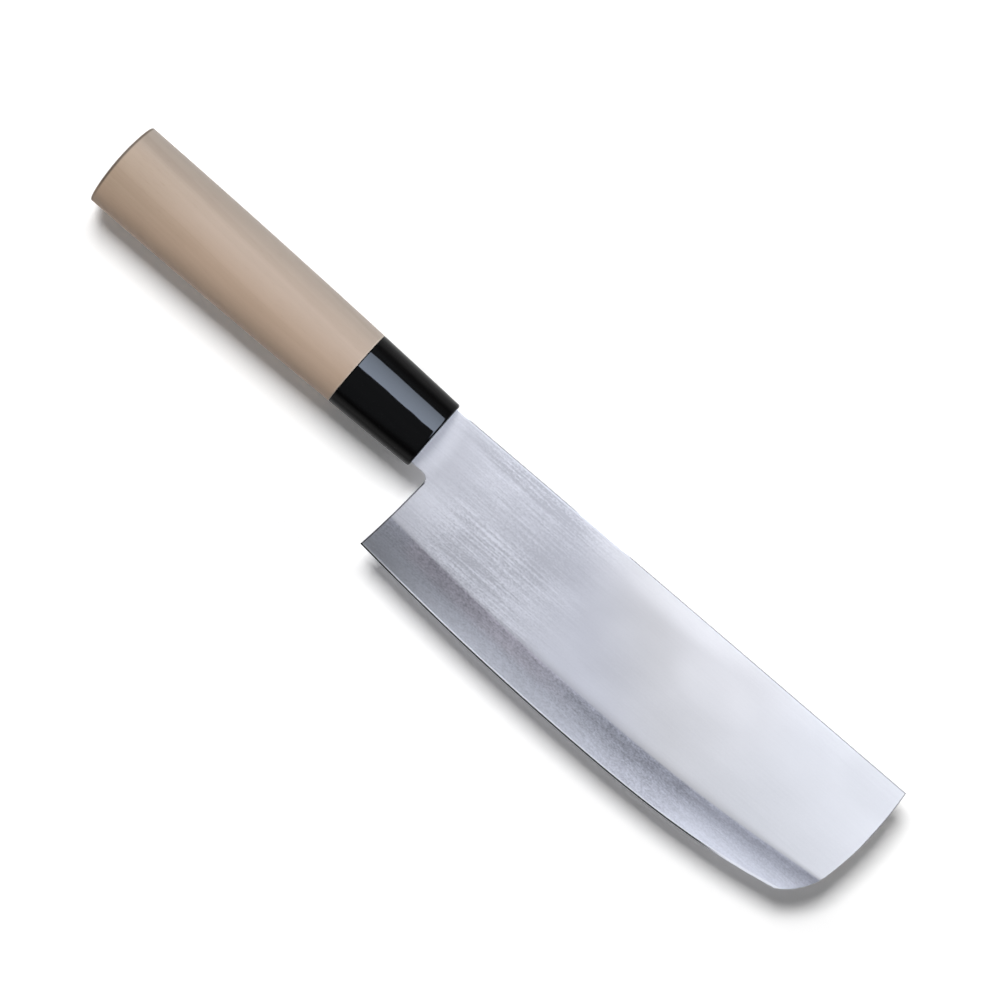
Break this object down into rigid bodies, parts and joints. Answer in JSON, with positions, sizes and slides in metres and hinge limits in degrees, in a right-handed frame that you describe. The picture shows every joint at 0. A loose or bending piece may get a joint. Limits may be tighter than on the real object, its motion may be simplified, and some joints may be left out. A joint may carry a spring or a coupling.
{
  "type": "nakiri knife",
  "caption": "Straight-edged vegetable knife: tall square-fronted blade of clad steel on a hidden tang, oval plain-wood handle with a dark ferrule, for chopping by hand.",
  "frame": {"origin": "under the middle of the knife's box, level with the handle's lowest point, with the knife lying on its left side", "axes": "+X from the butt to the tip, +Y from the cutting edge to the spine, +Z out of the blade's right face"},
  "size_m": [0.289, 0.0538, 0.0213],
  "materials": {
    "core_steel": "satin",
    "cladding_steel": "satin",
    "handle_wood": "matte",
    "ferrule_black": "gloss",
    "adhesive": "satin",
    "bedding_resin": "matte",
    "seal_resin": "satin"
  },
  "bodies": {
    "root": {"core_steel": "core_steel", "right_cladding": "cladding_steel", "left_cladding": "cladding_steel", "handle": "handle_wood", "ferrule": "ferrule_black", "ferrule_adhesive": "adhesive", "tang_bedding": "bedding_resin", "slot_seal": "seal_resin"}
  },
  "joints": []
}
